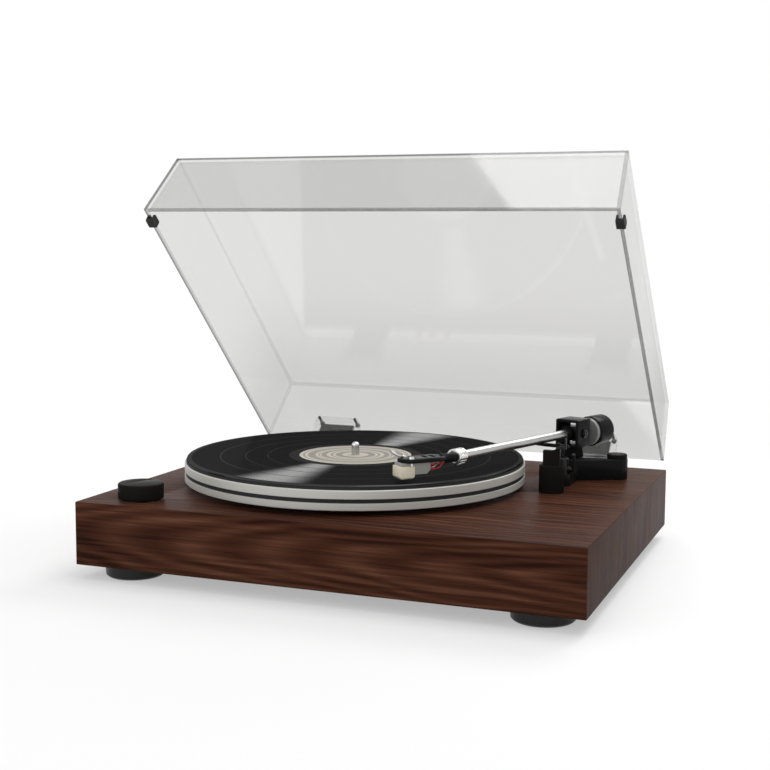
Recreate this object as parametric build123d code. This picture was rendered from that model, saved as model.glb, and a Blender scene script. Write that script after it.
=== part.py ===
from build123d import *
from math import acos, atan2, cos, degrees, hypot, pi, radians, sin, sqrt
import os

# Record player with a hinged clear cover. Millimetres.
# The origin is the spindle's axis at the record's playing surface.
# +X points right, +Y points to the back, +Z points up.

# Driving dimensions: record, mat and spindle
record_dia = 301.0
record_t = 1.6
record_hole_dia = 7.26
label_dia = 101.0
label_t = 0.12
mat_t = 2.0
mat_margin = 1.6
spindle_dia = 7.14
spindle_rise = 11.8
spindle_relief = 0.2

# Driving dimensions: platter
platter_dia = 305.2
upper_tier_h = 7.1
groove_h = 3.4
lower_tier_h = 6.0
groove_depth = 3.2
band_t = 2.0
rim_wall = 7.0
web_t = 4.0
tier_edge_chamfer = 0.6
hub_dia = 30.0
hub_drop = 8.0
drive_ring_dia = 206.0
drive_ring_wall = 4.0
drive_ring_drop = 12.0
rib_count = 6
rib_t = 3.0
rib_drop = 6.0
platter_gap = 4.85

# Driving dimensions: plinth
plinth_w = 432.4
plinth_d = 346.6
plinth_h = 53.2
plinth_centre_x = 34.9
plinth_top_t = 12.0
plinth_wall = 15.0
plinth_edge = 0.7
bottom_t = 3.0
bottom_rebate = 7.5
bottom_screw_inset = 4.0

# Driving dimensions: feet
foot_x = 177.0
foot_y = 143.0
foot_dia = 51.5
foot_taper = 0.9
foot_h = 12.0
foot_edge = 1.5
foot_pad_dia = 40.0
foot_pad_t = 2.0
foot_pad_drop = 0.8

# Driving dimensions: main bearing
bearing_shaft_dia = 10.0
bearing_tube_dia = 20.0
bearing_flange_dia = 44.0
bearing_flange_t = 2.4
bearing_depth = 33.0
bush_h = 8.0
bush_wall = 2.0
ball_dia = 6.0
thrust_floor = 3.0
shoulder_dia = 26.0
shoulder_t = 2.5
hub_seat_dia = 12.0

# Driving dimensions: motor and belt
motor_dist = 128.0
motor_angle = 150.0
motor_dia = 35.0
motor_h = 22.0
motor_shaft_dia = 2.0
motor_plate_t = 2.0
motor_plate_dia = 64.0
grommet_dia = 10.0
grommet_h = 4.0
pulley_dia = 13.2
pulley_flange = 1.4
pulley_flange_t = 1.0
belt_w = 5.0
belt_t = 0.7
belt_gap = 0.3

# Driving dimensions: speed knob and its switch
knob_x = -137.8
knob_y = -140.3
knob_dia = 38.4
knob_h = 12.8
knob_gap = 1.0
knob_wall = 2.5
knob_edge = 1.0
knob_boss_dia = 12.0
knob_shaft_dia = 6.0
switch_size = 22.0
switch_h = 12.0
bushing_dia = 9.0

# Driving dimensions: tonearm
arm_x = 175.1
arm_y = 104.7
arm_height = 41.0
arm_yaw = 18.7
head_offset = 24.5
tube_dia = 8.2
tube_bore = 6.4
collar_at = 179.5
collar_dia = 13.6
collar_len = 11.0
collar_flutes = 16
carrier_half_w = 9.0
carrier_half_l = 6.5
carrier_half_h = 6.5
yoke_gap = 0.4
yoke_plate = 2.4
yoke_half_l = 11.0
yoke_above = 13.2
yoke_below = 12.6
yoke_bar = 2.6
turret_dia = 20.0
arm_post_dia = 8.0
pivot_screw_dia = 5.0
stub_dia = 8.0
stub_drop = 2.0
stub_end = 56.0
weight_dia = 28.4
weight_len = 25.0
weight_at = 27.0
weight_recess_dia = 21.0
weight_recess = 12.0
scale_ring_dia = 26.0
scale_ring_len = 4.2

# Driving dimensions: tonearm base, anti-skate dial, lift and rest
base_h = 18.9
base_round = 22.0
bridge_w = 17.0
bridge_h = 10.4
dial_lobe_x = 40.3
dial_lobe_y = 6.3
dial_lobe_round = 9.8
dial_dia = 18.4
dial_h = 3.8
rest_x = 0.4
rest_y = -81.7
rest_dia = 22.0
rest_h = 24.0
rest_edge = 0.8
rest_stud_dia = 6.0
lift_x = 0.8
lift_y = -47.0
lift_dia = 13.0
lift_h = 25.0
lift_rod_dia = 5.0
lift_bar_w = 5.0
lift_bar_t = 2.6
lift_bar_in = 40.0
lift_bar_out = -9.0
lift_gap = 0.35
cradle_w = 14.8
cradle_t = 6.0
cradle_gap = 0.4
cradle_prong = 2.0
clip_t = 1.6
lever_dia = 3.6
lever_reach = 4.0
lever_len = 15.0
lever_z = 14.0

# Driving dimensions: headshell and cartridge
shell_len = 41.0
shell_start = 6.0
shell_w = 19.0
shell_t = 3.4
shell_rise = 1.0
neck_dia = 7.6
cartridge_len = 26.0
cartridge_w = 13.0
cartridge_h = 9.5
cartridge_front = 48.5
stylus_len = 12.0
stylus_w = 13.4
stylus_clear = 2.3
tip_above = 1.0
lead_dia = 1.0
pin_dia = 1.2
pin_len = 5.0
finger_w = 3.0
finger_t = 1.0

# Driving dimensions: clear cover and hinges
lid_w = 424.0
lid_l = 343.0
lid_h = 71.0
lid_wall = 3.0
lid_side_draft = 4.4
lid_front_draft = 5.2
lid_edge = 1.2
lid_closed_gap = 3.0
lid_back_inset = 1.5
lid_open_deg = 43.6
bumper_len = 10.0
bumper_w = 7.0
bumper_from_front = 16.0
hinge_x = 138.0
hinge_back = 9.2
hinge_drop = 9.6
hinge_w = 37.0
hinge_knuckle_w = 20.0
hinge_knuckle_dia = 10.0
hinge_pin_dia = 4.0
hinge_leaf_t = 3.0
hinge_leaf_in = 21.0
hinge_plate_t = 2.5
hinge_plate_h = 30.0
socket_w = 50.0
socket_h = 29.0
socket_t = 8.5
socket_screw_x = 20.5
socket_screw_z = 25.2

# Driving dimensions: rear panel
panel_x = -50.0
panel_w = 118.0
panel_h = 36.0
panel_t = 1.6
panel_overlap = 5.0
jack_pitch = 16.0
jack_dia = 8.4
jack_len = 9.0
slider_travel = 4.0
board_t = 1.6

# Fits and fasteners
running_fit = 0.05
loose_fit = 0.3
screw_fit = 0.05
screw_dia = 4.0
screw_head_dia = 7.2
screw_head_h = 2.2
small_screw_dia = 3.0
small_head_dia = 5.4
small_head_h = 1.6

# Heights worked out from the stack on the spindle
mat_top = -record_t
ring_top = mat_top - mat_t
groove_top = ring_top - upper_tier_h
groove_bottom = groove_top - groove_h
ring_bottom = groove_bottom - lower_tier_h
plinth_top = ring_bottom - platter_gap
plinth_ceiling = plinth_top - plinth_top_t
plinth_bottom = plinth_top - plinth_h
floor_z = plinth_bottom - foot_h
plinth_back = plinth_d / 2
bearing_top = plinth_top + bearing_flange_t
arm_z = plinth_top + arm_height
hinge_y = plinth_back + hinge_back
hinge_z = plinth_top - hinge_drop

BASE = (Align.CENTER, Align.CENTER, Align.MIN)
nodes = {}


def disc(radius, z0, z1, x=0.0, y=0.0):
    return Pos(x, y, z0) * Cylinder(radius, z1 - z0, align=BASE)


def ring(outer, inner, z0, z1, x=0.0, y=0.0):
    return disc(outer, z0, z1, x, y) - disc(inner, z0 - 1, z1 + 1, x, y)


def block(x0, x1, y0, y1, z0, z1):
    size = Box(x1 - x0, y1 - y0, z1 - z0)
    return Pos((x0 + x1) / 2, (y0 + y1) / 2, (z0 + z1) / 2) * size


def rod_x(radius, x0, x1, y=0.0, z=0.0):
    return Pos(x0, y, z) * (Rot(0, 90, 0) * Cylinder(radius, x1 - x0, align=BASE))


def rod_y(radius, y0, y1, x=0.0, z=0.0):
    return Pos(x, y0, z) * (Rot(-90, 0, 0) * Cylinder(radius, y1 - y0, align=BASE))


def turned(points):
    """A solid turned about Z from (radius, height) corners."""
    outline = Polyline(*[(r, 0, z) for r, z in points], close=True)
    return revolve(make_face(outline), Axis.Z, 360)


def screw(dia, length, head_dia, head_h, x, y, z):
    """A pan head screw that points down, its head standing on height z."""
    head = turned([(0, 0), (head_dia / 2, 0), (head_dia / 2 * 0.8, head_h), (0, head_h)])
    return Pos(x, y, z) * (head + disc(dia / 2, -length, 0.01))


def tapered_outline(radius_a, radius_b, distance):
    """Outline round two circles and the lines that touch both, the second at +X."""
    lean = acos((radius_a - radius_b) / distance)
    ax, ay = radius_a * cos(lean), radius_a * sin(lean)
    bx, by = distance + radius_b * cos(lean), radius_b * sin(lean)
    edges = [
        Line((ax, ay), (bx, by)),
        ThreePointArc((bx, by), (distance + radius_b, 0), (bx, -by)),
        Line((bx, -by), (ax, -ay)),
        ThreePointArc((ax, -ay), (-radius_a, 0), (ax, ay)),
    ]
    return make_face(edges)


# Plinth: a veneered box, open below, with its bottom panel and feet

def in_plinth(x, y):
    """A place that is given from the plinth's centre."""
    return plinth_centre_x + x, y


def plinth_box(inset, z0, z1):
    half_w = plinth_w / 2 - inset
    half_d = plinth_d / 2 - inset
    return block(plinth_centre_x - half_w, plinth_centre_x + half_w, -half_d, half_d, z0, z1)


def polar(distance, angle):
    return distance * cos(radians(angle)), distance * sin(radians(angle))


motor_x, motor_y = polar(motor_dist, motor_angle)
motor_hole_dia = pulley_dia + 2 * pulley_flange + 6
bearing_hole_dia = bearing_tube_dia + 2 * loose_fit
arm_stem_dia = 16.0
arm_stem_len = plinth_top_t + 9.0
panel_cut_w = panel_w - 2 * panel_overlap
panel_cut_h = panel_h - 2 * panel_overlap
panel_mid_z = plinth_bottom + bottom_t + panel_h / 2 + 2


bearing_screw_dist = (bearing_flange_dia + bearing_tube_dia) / 4
bearing_screw_angles = (90, 210, 330)
bearing_screw_len = bearing_flange_t + 9
grommet_dist = motor_plate_dia / 2 - grommet_dia / 2 - 1.5
grommet_angles = (30, 150, 270)
hinge_screw_z = plinth_top - hinge_drop - hinge_plate_h + 6
hinge_screw_dx = hinge_w / 2 - 6


def bearing_screw_spots():
    return [polar(bearing_screw_dist, angle) for angle in bearing_screw_angles]


def motor_screw_spots():
    spots = [polar(grommet_dist, angle) for angle in grommet_angles]
    return [(motor_x + x, motor_y + y) for x, y in spots]


def hinge_screw_spots():
    return [(plinth_centre_x + sx * hinge_x + dx, hinge_screw_z)
            for sx in (-1, 1) for dx in (-hinge_screw_dx, hinge_screw_dx)]


def make_plinth():
    outer = plinth_box(0, plinth_bottom, plinth_top)
    outer = chamfer(outer.edges().filter_by(Axis.Z) + outer.faces().sort_by(Axis.Z)[-1].edges(), plinth_edge)
    shell = outer - plinth_box(plinth_wall, plinth_bottom - 1, plinth_ceiling)
    shell -= plinth_box(plinth_wall - bottom_rebate, plinth_bottom - 1, plinth_bottom + bottom_t)
    above, below = plinth_top + 1, plinth_ceiling - 1
    shell -= disc(bearing_hole_dia / 2, below, above)
    shell -= disc(motor_hole_dia / 2, below, above, motor_x, motor_y)
    shell -= disc(bushing_dia / 2 + screw_fit, below, above, knob_x, knob_y)
    shell -= disc(arm_stem_dia / 2 + loose_fit, below, above, arm_x, arm_y)
    shell -= disc(rest_stud_dia / 2 + loose_fit, below, above, arm_x + rest_x, arm_y + rest_y)
    for x, y in bearing_screw_spots():
        shell -= disc(small_screw_dia / 2 + screw_fit, bearing_top - bearing_screw_len - 0.5, above, x, y)
    for x, y in motor_screw_spots():
        shell -= disc(small_screw_dia / 2 + screw_fit, below, plinth_ceiling + 8, x, y)
    for x, y in bottom_screw_spots():
        shell -= disc(small_screw_dia / 2 + screw_fit, plinth_bottom - 1, plinth_bottom + bottom_t + 7, x, y)
    for x, z in hinge_screw_spots():
        shell -= rod_y(screw_dia / 2 + screw_fit, plinth_back - 10, plinth_back + 1, x, z)
    shell -= block(
        panel_x - panel_cut_w / 2 + plinth_centre_x, panel_x + panel_cut_w / 2 + plinth_centre_x,
        plinth_back - plinth_wall - 1, plinth_back + 1,
        panel_mid_z - panel_cut_h / 2, panel_mid_z + panel_cut_h / 2)
    return shell


bottom_gap = 0.2
foot_spots = [(-foot_x, -foot_y), (foot_x, -foot_y), (-foot_x, foot_y), (foot_x, foot_y)]


def bottom_screw_spots():
    half_w = plinth_w / 2 - plinth_wall + bottom_screw_inset
    half_d = plinth_d / 2 - plinth_wall + bottom_screw_inset
    return [in_plinth(sx * half_w * fx, sy * half_d * fy)
            for sx, sy, fx, fy in (
                (-1, -1, 0.45, 1), (1, -1, 0.45, 1), (-1, 1, 0.45, 1), (1, 1, 0.45, 1),
                (-1, 0, 1, 0), (1, 0, 1, 0))]


def make_bottom_panel():
    panel = plinth_box(plinth_wall - bottom_rebate + bottom_gap, plinth_bottom, plinth_bottom + bottom_t)
    for x, y in bottom_screw_spots():
        panel -= disc(small_screw_dia / 2 + screw_fit, plinth_bottom - 1, plinth_bottom + bottom_t + 1, x, y)
    for x, y in foot_spots:
        hole_x, hole_y = in_plinth(x, y)
        panel -= disc(screw_dia / 2 + screw_fit, plinth_bottom - 1, plinth_bottom + bottom_t + 1, hole_x, hole_y)
    slots = 7
    slot_w, slot_l, slot_pitch = 3.0, 40.0, 9.0
    for i in range(slots):
        x = motor_x + (i - (slots - 1) / 2) * slot_pitch
        panel -= block(x - slot_w / 2, x + slot_w / 2, motor_y - slot_l / 2, motor_y + slot_l / 2,
                       plinth_bottom - 1, plinth_bottom + bottom_t + 1)
    return panel


def bottom_screws():
    up = Rot(180, 0, 0) * screw(small_screw_dia, bottom_t + 6, small_head_dia, small_head_h, 0, 0, 0)
    return [Pos(x, y, plinth_bottom) * up for x, y in bottom_screw_spots()]


foot_pocket_dia = screw_head_dia + 2.0
foot_pocket_h = 6.0


def foot_at(x, y):
    radius = foot_dia / 2
    low = foot_pad_drop
    pad_top = foot_pad_t
    outline = [
        (foot_pocket_dia / 2, pad_top), (foot_pad_dia / 2 + 0.2, pad_top), (foot_pad_dia / 2 + 0.2, low),
        (radius - foot_taper - foot_edge, low), (radius - foot_taper, low + foot_edge),
        (radius, foot_h), (screw_dia / 2 + screw_fit, foot_h),
        (screw_dia / 2 + screw_fit, foot_pocket_h), (foot_pocket_dia / 2, foot_pocket_h)]
    return Pos(*in_plinth(x, y), floor_z) * turned(outline)


def make_foot_pads():
    pads = [Pos(*in_plinth(x, y), floor_z) * ring(foot_pad_dia / 2, foot_pocket_dia / 2 + 1, 0, foot_pad_t)
            for x, y in foot_spots]
    return Compound(children=pads)


def foot_screws():
    length = foot_h - foot_pocket_h + bottom_t + 4
    up = Rot(180, 0, 0) * screw(screw_dia, length, screw_head_dia, screw_head_h, 0, 0, 0)
    return [Pos(*in_plinth(x, y), floor_z + foot_pocket_h) * up for x, y in foot_spots]


def make_feet():
    return Compound(children=[foot_at(x, y) for x, y in foot_spots])


nodes["plinth_frame"] = make_plinth()
nodes["bottom_panel"] = make_bottom_panel()
nodes["feet"] = make_feet()
nodes["foot_pads"] = make_foot_pads()


# Main bearing below the platter

bearing_bottom = plinth_top - bearing_depth
bearing_bore = bearing_shaft_dia / 2 + bush_wall
ball_z = bearing_bottom + thrust_floor + ball_dia / 2
shaft_bottom = ball_z + ball_dia / 2


def make_bearing_housing():
    body = disc(bearing_tube_dia / 2, bearing_bottom, bearing_top)
    body += disc(bearing_flange_dia / 2, plinth_top, bearing_top)
    body -= disc(bearing_bore, bearing_bottom + thrust_floor, bearing_top + 1)
    for x, y in bearing_screw_spots():
        body -= disc(small_screw_dia / 2 + screw_fit, plinth_top - 1, bearing_top + 1, x, y)
    return body


def make_bearing_bushes():
    inner = bearing_shaft_dia / 2 + running_fit
    low = shaft_bottom + 0.5
    upper = ring(bearing_bore, inner, bearing_top - bush_h, bearing_top)
    lower = ring(bearing_bore, inner, low, low + bush_h)
    return Compound(children=[upper, lower])


def bearing_screws():
    return [screw(small_screw_dia, bearing_screw_len, small_head_dia, small_head_h, x, y, bearing_top)
            for x, y in bearing_screw_spots()]


def make_thrust_ball():
    ball = Pos(0, 0, ball_z) * Sphere(ball_dia / 2)
    cage = ring(bearing_bore - screw_fit, ball_dia / 2 + screw_fit, ball_z - ball_dia / 3, ball_z + ball_dia / 6)
    return Compound(children=[ball, cage])


nodes["bearing_housing"] = make_bearing_housing()
nodes["bearing_bushes"] = make_bearing_bushes()
nodes["thrust_ball"] = make_thrust_ball()


# Platter: a two-tier casting with a belt ring, ribs and a hub below its web

web_bottom = ring_top - web_t
hub_bottom = web_bottom - hub_drop
platter_r = platter_dia / 2
drive_r = drive_ring_dia / 2
drive_bottom = web_bottom - drive_ring_drop


def make_platter():
    inner = platter_r - rim_wall
    floor = platter_r - groove_depth
    edge = tier_edge_chamfer
    bore = hub_seat_dia / 2 + running_fit
    outline = [
        (bore, ring_top), (platter_r - edge, ring_top), (platter_r, ring_top - edge),
        (platter_r, groove_top + edge / 2), (platter_r - edge / 2, groove_top), (floor, groove_top),
        (floor, groove_bottom), (platter_r - edge / 2, groove_bottom), (platter_r, groove_bottom - edge / 2),
        (platter_r, ring_bottom + edge), (platter_r - edge, ring_bottom), (inner, ring_bottom),
        (inner - 2, web_bottom), (drive_r, web_bottom), (drive_r, drive_bottom),
        (drive_r - drive_ring_wall, drive_bottom), (drive_r - drive_ring_wall, web_bottom),
        (hub_dia / 2, web_bottom), (hub_dia / 2, hub_bottom), (bore, hub_bottom)]
    body = turned(outline)
    rib_start, rib_end = hub_dia / 2 - 1, drive_r - drive_ring_wall + 1
    for i in range(rib_count):
        rib = block(rib_start, rib_end, -rib_t / 2, rib_t / 2, web_bottom - rib_drop, web_bottom + 0.5)
        body += Rot(0, 0, i * 360 / rib_count) * rib
    return body


def make_platter_band():
    inner = platter_r - groove_depth + screw_fit
    return ring(inner + band_t, inner, groove_bottom + screw_fit, groove_top - screw_fit)


def make_spindle_shaft():
    seat_r, top_r = hub_seat_dia / 2, spindle_dia / 2
    tip = spindle_rise
    lathe = [
        (0, shaft_bottom), (bearing_shaft_dia / 2 - 1, shaft_bottom), (bearing_shaft_dia / 2, shaft_bottom + 1),
        (bearing_shaft_dia / 2, hub_bottom - shoulder_t), (shoulder_dia / 2, hub_bottom - shoulder_t),
        (shoulder_dia / 2, hub_bottom), (seat_r, hub_bottom), (seat_r, ring_top - 0.4),
        (top_r - spindle_relief, ring_top), (top_r - spindle_relief, spindle_relief), (top_r, spindle_relief),
        (top_r, tip - 3.0), (top_r * 0.8, tip - 1.2), (top_r * 0.45, tip - 0.25), (0, tip)]
    return turned(lathe)


def make_slipmat():
    return ring(platter_r - mat_margin, hub_seat_dia / 2, ring_top, mat_top)


def make_record():
    rim, hole = record_dia / 2, record_hole_dia / 2
    lip = 0.35
    label_r = label_dia / 2
    top, low = 0.0, -record_t
    lathe = [
        (hole, low + label_t), (label_r, low + label_t), (label_r, low), (rim - lip, low),
        (rim, low + lip), (rim, top - lip), (rim - lip, top), (label_r, top),
        (label_r, top - label_t), (hole, top - label_t)]
    return turned(lathe)


def make_record_labels():
    hole, label_r = record_hole_dia / 2, label_dia / 2
    upper = ring(label_r - screw_fit, hole, -label_t, 0)
    lower = ring(label_r - screw_fit, hole, -record_t, -record_t + label_t)
    return Compound(children=[upper, lower])


nodes["platter"] = make_platter()
nodes["platter_band"] = make_platter_band()
nodes["spindle_shaft"] = make_spindle_shaft()
nodes["slipmat"] = make_slipmat()
nodes["record"] = make_record()
nodes["record_labels"] = make_record_labels()


# Motor, pulley and drive belt

belt_mid = (web_bottom + drive_bottom) / 2 - 1
pulley_low = belt_mid - belt_w / 2 - pulley_flange_t - 0.6
pulley_high = belt_mid + belt_w / 2 + pulley_flange_t + 0.6
motor_hang = grommet_h / 2
plate_top = plinth_ceiling - motor_hang
plate_bottom = plate_top - motor_plate_t
motor_top = plate_bottom
motor_bottom = motor_top - motor_h


def at_motor(shape):
    return Pos(motor_x, motor_y, 0) * shape


def make_motor():
    can = disc(motor_dia / 2, motor_bottom, motor_top)
    can = fillet(can.edges().group_by(Axis.Z)[0], 2.0)
    boss = disc(5.0, motor_top, motor_top + motor_plate_t + 1.5)
    lugs = block(-4, 4, -motor_dia / 2 - 3, -motor_dia / 2 + 2, motor_bottom + 3, motor_bottom + 7)
    bore = disc(motor_shaft_dia / 2 + running_fit, motor_top - 12 - running_fit, motor_top + 10)
    return at_motor(can + boss + lugs - bore)


def make_motor_shaft():
    return disc(motor_shaft_dia / 2, motor_top - 12, pulley_high - 0.5, motor_x, motor_y)


def make_motor_plate():
    plate = disc(motor_plate_dia / 2, plate_bottom, plate_top) - disc(5.0 + screw_fit, plate_bottom - 1, plate_top + 1)
    for angle in grommet_angles:
        x, y = polar(grommet_dist, angle)
        plate -= disc(grommet_dia / 2 - 2, plate_bottom - 1, plate_top + 1, x, y)
    return at_motor(plate)


def make_motor_grommets():
    group = []
    for angle in grommet_angles:
        x, y = polar(grommet_dist, angle)
        hole = small_screw_dia / 2 + screw_fit
        neck = grommet_dia / 2 - 2 - screw_fit
        spool = ring(grommet_dia / 2, hole, plate_top, plinth_ceiling, x, y)
        spool += ring(neck, hole, plate_bottom, plate_top + 0.01, x, y)
        spool += ring(grommet_dia / 2, hole, plate_bottom - motor_hang, plate_bottom, x, y)
        group.append(at_motor(spool))
    return Compound(children=group)


def motor_screws():
    head_z = plate_bottom - motor_hang
    length = motor_hang + motor_plate_t + motor_hang + 7
    up = Rot(180, 0, 0) * screw(small_screw_dia, length, small_head_dia + 2, small_head_h, 0, 0, 0)
    return [Pos(x, y, head_z) * up for x, y in motor_screw_spots()]


def make_motor_pulley():
    radius, flange = pulley_dia / 2, pulley_dia / 2 + pulley_flange
    bore = motor_shaft_dia / 2
    low, high = pulley_low, pulley_high
    lathe = [
        (bore, low), (flange, low), (flange, low + pulley_flange_t), (radius, low + pulley_flange_t + 0.4),
        (radius + 0.15, (low + high) / 2), (radius, high - pulley_flange_t - 0.4),
        (flange, high - pulley_flange_t), (flange, high), (bore, high)]
    return at_motor(turned(lathe))


def make_drive_belt():
    inner_a = drive_r + belt_gap
    inner_b = pulley_dia / 2 + belt_gap
    inner = tapered_outline(inner_a, inner_b, motor_dist)
    outer = tapered_outline(inner_a + belt_t, inner_b + belt_t, motor_dist)
    loop = extrude(outer, belt_w) - extrude(inner, belt_w)
    return Rot(0, 0, motor_angle) * (Pos(0, 0, belt_mid - belt_w / 2) * loop)


nodes["motor"] = make_motor()
nodes["motor_shaft"] = make_motor_shaft()
nodes["motor_plate"] = make_motor_plate()
nodes["motor_grommets"] = make_motor_grommets()
nodes["motor_pulley"] = make_motor_pulley()
nodes["drive_belt"] = make_drive_belt()


# Speed knob, its shaft and the rotary switch below the plinth's top

knob_low = plinth_top + knob_gap
knob_top = knob_low + knob_h
shaft_low = plinth_ceiling - switch_h + 2


def make_speed_knob():
    radius = knob_dia / 2
    hollow_top = knob_top - knob_wall - 1
    lathe = [
        (knob_boss_dia / 2, knob_low + 1), (knob_boss_dia / 2, hollow_top), (radius - knob_wall, hollow_top),
        (radius - knob_wall, knob_low), (radius - 0.4, knob_low), (radius, knob_low + 0.4),
        (radius, knob_top - knob_edge), (radius - knob_edge, knob_top), (0, knob_top),
        (0, hollow_top), (knob_shaft_dia / 2 + screw_fit, hollow_top), (knob_shaft_dia / 2 + screw_fit, knob_low + 1)]
    body = turned(lathe)
    notch = block(-0.6, 0.6, radius - 7, radius - 2.2, knob_top - 0.5, knob_top + 1)
    return Pos(knob_x, knob_y, 0) * (body - notch)


def make_knob_shaft():
    return disc(knob_shaft_dia / 2, shaft_low, knob_top - knob_wall - 1, knob_x, knob_y)


def make_speed_switch():
    half = switch_size / 2
    low = plinth_ceiling - switch_h
    body = block(-half, half, -half, half, low, plinth_ceiling)
    body = fillet(body.edges().filter_by(Axis.Z), 2.5)
    body += disc(bushing_dia / 2, plinth_ceiling, plinth_top + knob_gap)
    body -= disc(knob_shaft_dia / 2 + running_fit, shaft_low - running_fit, plinth_top + 2)
    for i in range(4):
        x = (i - 1.5) * 4.5
        body += block(x - 0.6, x + 0.6, -half - 4, -half + 1, low + 3, low + 3.6)
    return Pos(knob_x, knob_y, 0) * body


nodes["speed_knob"] = make_speed_knob()
nodes["knob_shaft"] = make_knob_shaft()
nodes["speed_switch"] = make_speed_switch()


# Boards inside the plinth

board_stand = 3.0
inner_front = -plinth_d / 2 + plinth_wall


def make_board(x, y, length, width):
    """A board on four stand-offs below the plinth's top, parts hanging down."""
    top = plinth_ceiling - board_stand
    low = top - board_t
    body = block(x - length / 2, x + length / 2, y - width / 2, y + width / 2, low, top)
    for sx in (-1, 1):
        for sy in (-1, 1):
            body += disc(2.5, top - 0.1, plinth_ceiling, x + sx * (length / 2 - 4), y + sy * (width / 2 - 4))
    cans = ((-0.28, 0.2, 4.0, 12.0), (-0.1, 0.2, 4.0, 12.0), (0.1, -0.2, 3.2, 8.0))
    for fx, fy, radius, height in cans:
        body += disc(radius, low - height, low + 0.1, x + fx * length, y + fy * width)
    body += block(x + 0.2 * length, x + 0.4 * length, y - 0.1 * width, y + 0.25 * width, low - 7, low + 0.1)
    body += block(x - 0.35 * length, x - 0.1 * length, y - 0.38 * width, y - 0.15 * width, low - 2.2, low + 0.1)
    return body


nodes["speed_board"] = make_board(knob_x + 62, knob_y + 26, 56.0, 38.0)


# Rear panel with its jacks, earth terminal, power inlet and level switch

panel_left = plinth_centre_x + panel_x - panel_w / 2
panel_right = panel_left + panel_w
panel_face = plinth_back + panel_t
jack_left = panel_left + 22
jack_right = jack_left + jack_pitch
earth_x = jack_right + 17
slider_x = earth_x + 22
inlet_x = slider_x + 22
slot_half_w = 5.0
slider_half_w = 2.4


def panel_screw_spots():
    return [(x, panel_mid_z + s * (panel_h / 2 - panel_overlap / 2))
            for x in (panel_left + 2.6, panel_right - 2.6) for s in (-1, 1)]


def make_rear_panel():
    body = block(panel_left, panel_right, plinth_back, panel_face,
                 panel_mid_z - panel_h / 2, panel_mid_z + panel_h / 2)
    body = fillet(body.edges().filter_by(Axis.Y), 2.0)
    for x, radius in ((jack_left, jack_dia / 2), (jack_right, jack_dia / 2), (earth_x, 2.0), (inlet_x, 5.0)):
        body -= rod_y(radius + screw_fit, plinth_back - 1, panel_face + 1, x, panel_mid_z)
    body -= block(slider_x - slot_half_w, slider_x + slot_half_w, plinth_back - 1, panel_face + 1,
                  panel_mid_z - 2.5, panel_mid_z + 2.5)
    for x, z in panel_screw_spots():
        body -= rod_y(0.9 + screw_fit, plinth_back - 1, panel_face + 1, x, z)
    return body


def panel_screws():
    return [rod_y(1.9, panel_face, panel_face + 1.2, x, z) + rod_y(0.9, plinth_back, panel_face + 0.1, x, z)
            for x, z in panel_screw_spots()]


def phono_jack(x):
    """A phono socket: barrel outside, collar on the panel, threaded body and tag inside."""
    body = rod_y(jack_dia / 2, plinth_back - 10, panel_face + jack_len, x, panel_mid_z)
    body += rod_y(jack_dia / 2 + 1.6, panel_face, panel_face + 1.8, x, panel_mid_z)
    body += rod_y(jack_dia / 2 + 1.8, plinth_back - 3, plinth_back, x, panel_mid_z)
    body -= rod_y(1.6, panel_face - 4, panel_face + jack_len + 1, x, panel_mid_z)
    return body


def make_earth_terminal():
    """The earth screw: a threaded post and a fluted thumb nut."""
    body = rod_y(2.0, plinth_back - 8, panel_face + 11, earth_x, panel_mid_z)
    nut = rod_y(4.6, panel_face + 3.5, panel_face + 9.5, earth_x, panel_mid_z)
    washer = rod_y(3.8, panel_face, panel_face + 0.8, earth_x, panel_mid_z)
    lock = rod_y(3.6, plinth_back - 3, plinth_back, earth_x, panel_mid_z)
    return body + nut + washer + lock


def make_power_inlet():
    body = rod_y(5.0, plinth_back - 12, panel_face + 1.4, inlet_x, panel_mid_z)
    body += rod_y(6.2, panel_face, panel_face + 1.4, inlet_x, panel_mid_z)
    body -= rod_y(3.0, panel_face - 8, panel_face + 2, inlet_x, panel_mid_z)
    body += rod_y(0.9, panel_face - 8.5, panel_face - 0.5, inlet_x, panel_mid_z)
    return body


def make_level_switch():
    z = panel_mid_z
    back = plinth_back - 7.5
    body = block(slider_x - 8, slider_x + 8, back, plinth_back, z - 4.5, z + 4.5)
    body -= block(slider_x - slot_half_w, slider_x + slot_half_w, plinth_back - 4.5, plinth_back + 1, z - 2.5, z + 2.5)
    return body


def make_level_slider():
    z = panel_mid_z
    x0 = slider_x - slot_half_w + loose_fit / 2
    return block(x0, x0 + 2 * slider_half_w, plinth_back - 4.4, panel_face + 2.5, z - 2.3, z + 2.3)


def make_phono_board():
    """The phono board stands behind the rear panel, carried by the jacks and the switch."""
    y1 = plinth_back - plinth_wall - 1
    x0, x1 = jack_left - 8, slider_x + 8
    z0 = panel_mid_z - 14
    body = block(x0, x1, y1 - board_t, y1, z0, panel_mid_z + 13)
    for x in (jack_left, jack_right):
        body += rod_y(jack_dia / 2, y1 - 0.1, plinth_back - 10, x, panel_mid_z)
    body += block(slider_x - 5, slider_x + 5, y1 - 0.1, plinth_back - 7.5, panel_mid_z - 4, panel_mid_z + 4)
    for i in range(3):
        body += rod_y(3.0, y1 - board_t - 9, y1 - board_t + 0.1, x0 + 12 + i * 9, z0 + 6.4)
    body += block(x0 + 38, x0 + 52, y1 - board_t - 3, y1 - board_t + 0.1, z0 + 8, z0 + 16)
    return body


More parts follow.
